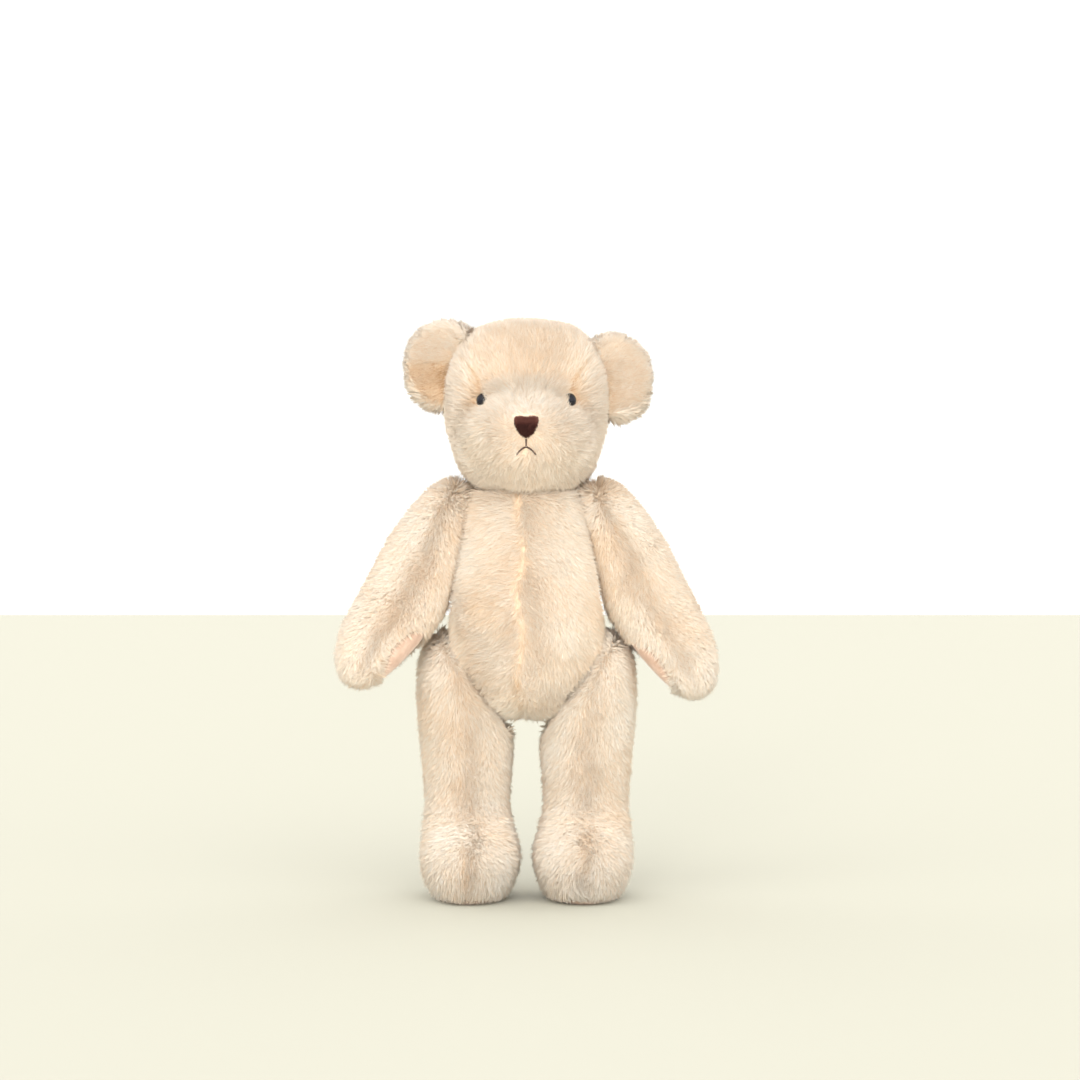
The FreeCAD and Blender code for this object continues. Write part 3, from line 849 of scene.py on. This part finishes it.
def make_arm(side, k):
    plane = joint_plane(f"{side}_shoulder_swing", (-k, 0, 0))
    joint, inward = plane
    low, high = box_mm(f"{side}_paw_pad")
    pad = (low + high) / 2
    hand = unit(pad - joint)
    plugs = [(joint, -inward, COVER_GAP, ARM_POCKET, SHOULDER_PLUG)]
    panels = [f"{side}_arm_outer", f"{side}_arm_inner"]
    skin = cover(
        f"{side}_arm_cover", f"{side}_arm", panels, plugs,
        inside=[f"{side}_arm_stuffing", f"{side}_paw_pad"],
    )
    co = points_of(skin) / MM
    off = co - joint
    rise = ARM_TOP_RISE * ease(16, 34, off[:, 2]) * ease(-34, -8, off @ inward)
    set_points(skin, (co + rise[:, None] * np.array([0, 0, 1.0])) * MM)
    hold_inside(skin, [plane])
    skin_points = points_of(skin) / MM
    from_pad = pad_distance(f"{side}_paw_pad", skin_points)
    tree = search_tree(skin_points)

    def maps(p, n):
        off = p - joint
        down = off @ hand
        flow = hand + 0.25 * n * np.array([1, 1, 0])
        tipward = ease(95, 122, down)
        top = ease(10, -30, down)
        flow = flow + top[:, None] * unit(off) * 0.8
        flow = flow + 1.2 * near(off @ inward, CREASE_REACH)[:, None] * inward
        crest = near(off @ inward, 16) * ease(8, 26, off[:, 2])
        long = ARM_LONG - 0.4 * tipward + 6.0 * crest
        long = long + 3.5 * near(off @ inward, 10) * (1 - crest)
        lift = ARM_LIFT + 0.04 * tipward + 0.20 * crest
        inner = ease(-30, -6, off @ inward) * ease(95, 60, down)
        # painted shade: deeper near the shoulder, beside its joint and on the inner side facing the torso
        tint = ARM_TINT + 0.04 * top + 0.02 * near(off @ inward, 8) + 0.16 * inner
        tint += 0.07 * waves(p, 24, 6 + k)
        # paler towards the paw; the shoulder's crest is painted paler as painted light against the shade in its
        # creases
        tint -= 0.06 * tipward + 0.08 * crest
        dense = np.ones(len(p))
        face = joint_face(p, n, plane)
        dense[face], long[face], lift[face] = RUBBED
        gap = np.array([from_pad[tree.find(point)[1]] for point in p])
        dense[gap < PAD_EDGE] = 0
        fringe = near(gap - PAD_EDGE, 4.0)[:, None]
        flow = unit(flow) * (1 - fringe) + unit(pad - p) * fringe
        lift = lift + 0.16 * fringe[:, 0]
        return dense, long, flow, lift, tint

    def part(p):
        lean = (p - pad) @ inward
        return np.where(lean < -24, 0, 1)

    comb(
        skin, f"{side}_arm", ARM_STRANDS, maps, [plane], 50 + k, part,
        [f"{side}_arm_outer_pile", f"{side}_arm_inner_pile"],
    )


ANKLE_Z = 56.0
LEG_X = 41.0                 # how far each leg's middle stands from the bear's
FLOOR_PLANE = np.array([0, 0, 0.0]), np.array([0, 0, -1.0])


def make_leg(side, k):
    plane = joint_plane(f"{side}_hip_swing", (-k, 0, 0))
    joint, inward = plane
    plugs = [(joint, -inward, COVER_GAP, LEG_POCKET, HIP_PLUG)]
    panels = [f"{side}_leg_outer", f"{side}_leg_inner"]
    skin = cover(
        f"{side}_leg_cover", f"{side}_leg", panels, plugs,
        inside=[f"{side}_leg_stuffing", f"{side}_foot_pad"],
    )
    hold_inside(skin, [plane, FLOOR_PLANE], LEG_GAP)
    middle = k * LEG_X
    toe = np.array([middle - k * 2, -16.0, 40.0])

    def maps(p, n):
        x, y, z = p.T
        foot = ease(72, 38, z)
        flow = np.stack([0.25 * n[:, 0], 0.2 * n[:, 1], -np.ones(len(p))], 1)
        spray = unit((p - toe) * np.array([1.0, 1.0, 0.8]))
        spray[:, 2] -= 0.65
        flow = flow * (1 - foot[:, None]) + spray * foot[:, None]
        hip = near((p - joint) @ inward, 9)
        flow = flow + 1.2 * hip[:, None] * inward
        ankle = near(z - ANKLE_Z, 5) * ease(20, -10, y)
        # the front seam's groove: its deeper tint is partly tan roots showing, partly painted shade
        front_seam = near(x - middle - 1.2 * np.sin(z / 8), 1.9) * ease(0, -15, y) * foot
        long = LEG_LONG + 1.4 * foot + 2.0 * ankle + 2.5 * hip
        long = long * (1 - 0.35 * front_seam)
        long = long * (0.55 + 0.45 * ease(2, 12, z))
        instep = near(np.linalg.norm(p - toe, axis=1), 20)
        lift = LEG_LIFT - 0.04 * ankle - 0.14 * instep
        # painted shade in the ankle's crease
        tint = LEG_TINT + 0.06 * ankle + 0.10 * front_seam - 0.05 * foot
        # painted light: the top of the leg by the hip paler, against the shade in its notch
        tint += 0.07 * waves(p, 24, 16 + k) - 0.06 * hip
        dense = np.ones(len(p))
        face = joint_face(p, n, plane)
        dense[face], long[face], lift[face] = RUBBED
        dense[(z < 4.5) | (n[:, 2] < -0.85) & (z < 12)] = 0
        return dense, long, flow, lift, tint

    def part(p):
        return np.where((p[:, 0] - middle) * k > 0, 0, 1)

    comb(
        skin, f"{side}_leg", LEG_STRANDS, maps, [plane], 60 + k, part,
        [f"{side}_leg_outer_pile", f"{side}_leg_inner_pile"],
    )


FILLING_VOXEL = 6.0
FILLING_SHRINK = 2.2


def make_filling(part, body):
    """The polyester inside a cover, lumpy and a little smaller than its CAD solid."""
    ob = welded(f"{part}_filling", [f"{part}_stuffing"])
    apply_modifier(ob, "REMESH", mode="VOXEL", voxel_size=FILLING_VOXEL * MM)
    apply_modifier(ob, "SMOOTH", factor=0.5, iterations=2)
    apply_modifier(ob, "DISPLACE", strength=-FILLING_SHRINK * MM, mid_level=0)
    co, no = points_of(ob), normals_of(ob)
    lumps = 0.9 * waves(co / MM, 9, 3)[:, None] * MM
    set_points(ob, co + no * np.clip(lumps, -MM, MM))
    finished(ob, FILLING)
    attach(ob, body)
    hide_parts(f"{part}_stuffing")


# ---- Pads, nose and mouth -----------------------------------------------------------
PAD_VOXEL, NOSE_VOXEL = 1.5, 0.8
PLY_RADIUS = 0.36
PLY_TURNS = 2.2
PLY_STEPS = 26
STITCH_BOW = 0.9             # how far a stitch stands out, and a lower one bows up


def make_pad(side, name, body):
    ob = welded(f"{side}_{name}_suede", [f"{side}_{name}"])
    apply_modifier(ob, "REMESH", mode="VOXEL", voxel_size=PAD_VOXEL * MM)
    apply_modifier(ob, "SMOOTH", factor=0.5, iterations=6)
    if name == "foot_pad":
        co = points_of(ob)
        co[:, 2] = np.clip(co[:, 2], 0, None)
        set_points(ob, co)
    finished(ob, SUEDE)
    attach(ob, body)
    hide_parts(f"{side}_{name}")


def make_nose():
    ob = welded("nose_velour", ["nose"])
    apply_modifier(ob, "REMESH", mode="VOXEL", voxel_size=NOSE_VOXEL * MM)
    apply_modifier(ob, "SMOOTH", factor=0.5, iterations=50)
    apply_modifier(ob, "DISPLACE", strength=-0.1 * MM, mid_level=0)
    finished(ob, VELOUR)
    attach(ob, "head")
    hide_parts("nose")

    def maps(p, n):
        flow = np.stack([0.3 * np.sign(p[:, 0]), np.zeros(len(p)), -np.ones(len(p))], 1)
        # painted light: the nap paler on the nose's top, where it faces up
        top = ease(NOSE[2] + 1.5, NOSE[2] + 5.5, p[:, 2])
        dense = (p[:, 1] < NOSE[1] + 5).astype(float)
        long, lift = np.full(len(p), NAP_LONG), np.full(len(p), NAP_LIFT)
        return dense, long, flow, lift, NAP_TINT + 0.24 * top

    comb(
        ob, "head", NAP_STRANDS, maps, [], 90, lambda p: np.zeros(len(p), int), ["nose_nap"],
        clump=NAP_CLUMP, wide=NAP_WIDE, paints=NAP,
    )


def make_mouth():
    """Each stitch is two plies twisted together."""
    co = points_of(NODES["mouth_stitches"]) / MM
    ends = []
    for pick in (np.abs(co[:, 0]) < 0.75, co[:, 0] > 1.0, co[:, 0] < -1.0):
        own = co[pick]
        top = own[own[:, 2] > own[:, 2].max() - 1.0].mean(0)
        foot = own[own[:, 2] < own[:, 2].min() + 1.0].mean(0)
        if ends:        # the two lower stitches start from the upper one's foot
            foot = top + (foot - top) * 0.85
            top = top * np.array([0.25, 1, 1])
        ends.append((top, foot))
    curve = bpy.data.curves.new("mouth_twist", "CURVE")
    curve.dimensions = "3D"
    curve.bevel_depth = PLY_RADIUS * MM
    curve.bevel_resolution = 2
    for top, foot in ends:
        run = foot - top
        bow = STITCH_BOW if abs(run[0]) > 1 else 0.0
        side = unit(np.cross(run, [0, -1.0, 0]))
        for ply in (0, math.pi):
            line = curve.splines.new("POLY")
            line.points.add(PLY_STEPS)
            for i in range(PLY_STEPS + 1):
                t = i / PLY_STEPS
                turn = ply + t * 2 * math.pi * PLY_TURNS
                at = top + run * t + np.array([0, -STITCH_BOW, bow]) * math.sin(math.pi * t)
                around = side * math.cos(turn) + np.array([0, -1, 0]) * math.sin(turn)
                at = at + PLY_RADIUS * around
                line.points[i].co = (*(at * MM), 1)
                line.points[i].radius = 1.1 - 0.5 * t
    mesh = bpy.data.meshes.new_from_object(bpy.data.objects.new("twist", curve))
    ob = bpy.data.objects.new("mouth_thread", mesh)
    SCENE.collection.objects.link(ob)
    finished(ob, THREAD)
    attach(ob, "head")
    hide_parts("mouth_stitches")


# ---- Studio -------------------------------------------------------------------------
FLOOR_COLOUR = (0.482, 0.475, 0.403)
FLOOR_SIZE, FLOOR_Y = (8, 4.63), 0.315
WORLD_COLOUR, WORLD_STRENGTH = (1.0, 0.99, 0.97, 1), 1.3
SUNS = (          # name, where it shines from, strength, how wide in degrees, colour
    ("Key", (-0.4, -1.3, 1.2), 1.35, 80, (1.0, 0.98, 0.95)),
    ("Fill", (0.9, -1.6, 0.14), 1.2, 90, (1.0, 0.98, 0.96)),
    ("Back left", (-1.2, 1.3, 0.45), 1.0, 70, (1.0, 0.99, 0.97)),
    ("Back right", (1.2, 1.3, 0.45), 1.0, 70, (1.0, 0.99, 0.97)),
    ("Glint", (-0.35, -1.6, 0.6), 0.5, 14, (1.0, 1.0, 1.0)),
)
BOUNCE_SIZE, BOUNCE_PLACE = (1.2, 0.7), (0, -0.55, 0.012)
BOUNCE_WATTS, BOUNCE_COLOUR = 4.8, (1.0, 0.97, 0.92)
CAMERA_AWAY, CAMERA_RISE = 2.4, math.radians(3)
LOOK_AT = Vector((0.0093, 0.0, 0.2465))
VIEW_WIDE = 0.745            # what the picture spans where the camera looks
SENSOR = 36


def hung(name, light, place, turn):
    """A light's or the camera's object, at its place."""
    ob = bpy.data.objects.new(name, light)
    ob.location = place
    ob.rotation_euler = turn
    SCENE.collection.objects.link(ob)
    return ob


def make_studio():
    bpy.ops.object.select_all(action="DESELECT")
    bpy.ops.mesh.primitive_plane_add(size=1, location=(0, FLOOR_Y, 0))
    floor = bpy.context.active_object
    floor.name = "pale_floor"
    floor.scale = (*FLOOR_SIZE, 1)
    mat = plain("pale floor", FLOOR_COLOUR, 0.9, Specular_IOR_Level=0.1)[0]
    floor.data.materials.append(mat)

    world = bpy.data.worlds.new("Studio")
    SCENE.world = world
    world.use_nodes = True
    world.node_tree.nodes["Background"].inputs["Color"].default_value = WORLD_COLOUR
    world.node_tree.nodes["Background"].inputs["Strength"].default_value = WORLD_STRENGTH

    for name, place, strength, wide, colour in SUNS:
        light = bpy.data.lights.new(name, "SUN")
        light.energy = strength
        light.angle = math.radians(wide)
        light.color = colour
        hung(name, light, place, (-Vector(place)).to_track_quat("-Z", "Y").to_euler())

    bounce = bpy.data.lights.new("Bounce", "AREA")
    bounce.shape = "RECTANGLE"
    bounce.size, bounce.size_y = BOUNCE_SIZE
    bounce.energy = BOUNCE_WATTS
    bounce.color = BOUNCE_COLOUR
    hung("Bounce", bounce, BOUNCE_PLACE, (math.pi, 0, 0)).visible_camera = False

    lens = bpy.data.cameras.new("Camera")
    lens.sensor_width = SENSOR
    lens.lens = SENSOR * CAMERA_AWAY / VIEW_WIDE
    back = Vector((0, -math.cos(CAMERA_RISE), math.sin(CAMERA_RISE))) * CAMERA_AWAY
    place = LOOK_AT + back
    SCENE.camera = hung(
        "Camera", lens, place, (LOOK_AT - place).to_track_quat("-Z", "Y").to_euler()
    )


dress_nodes()
make_studio()
make_torso()
make_head()
for side, k in SIDES:
    make_ear(side, k)
    make_arm(side, k)
    make_leg(side, k)
    make_pad(side, "paw_pad", f"{side}_arm")
    make_pad(side, "foot_pad", f"{side}_leg")
make_nose()
make_mouth()
for part in ("torso", "head", "left_arm", "right_arm", "left_leg", "right_leg"):
    make_filling(part, part)
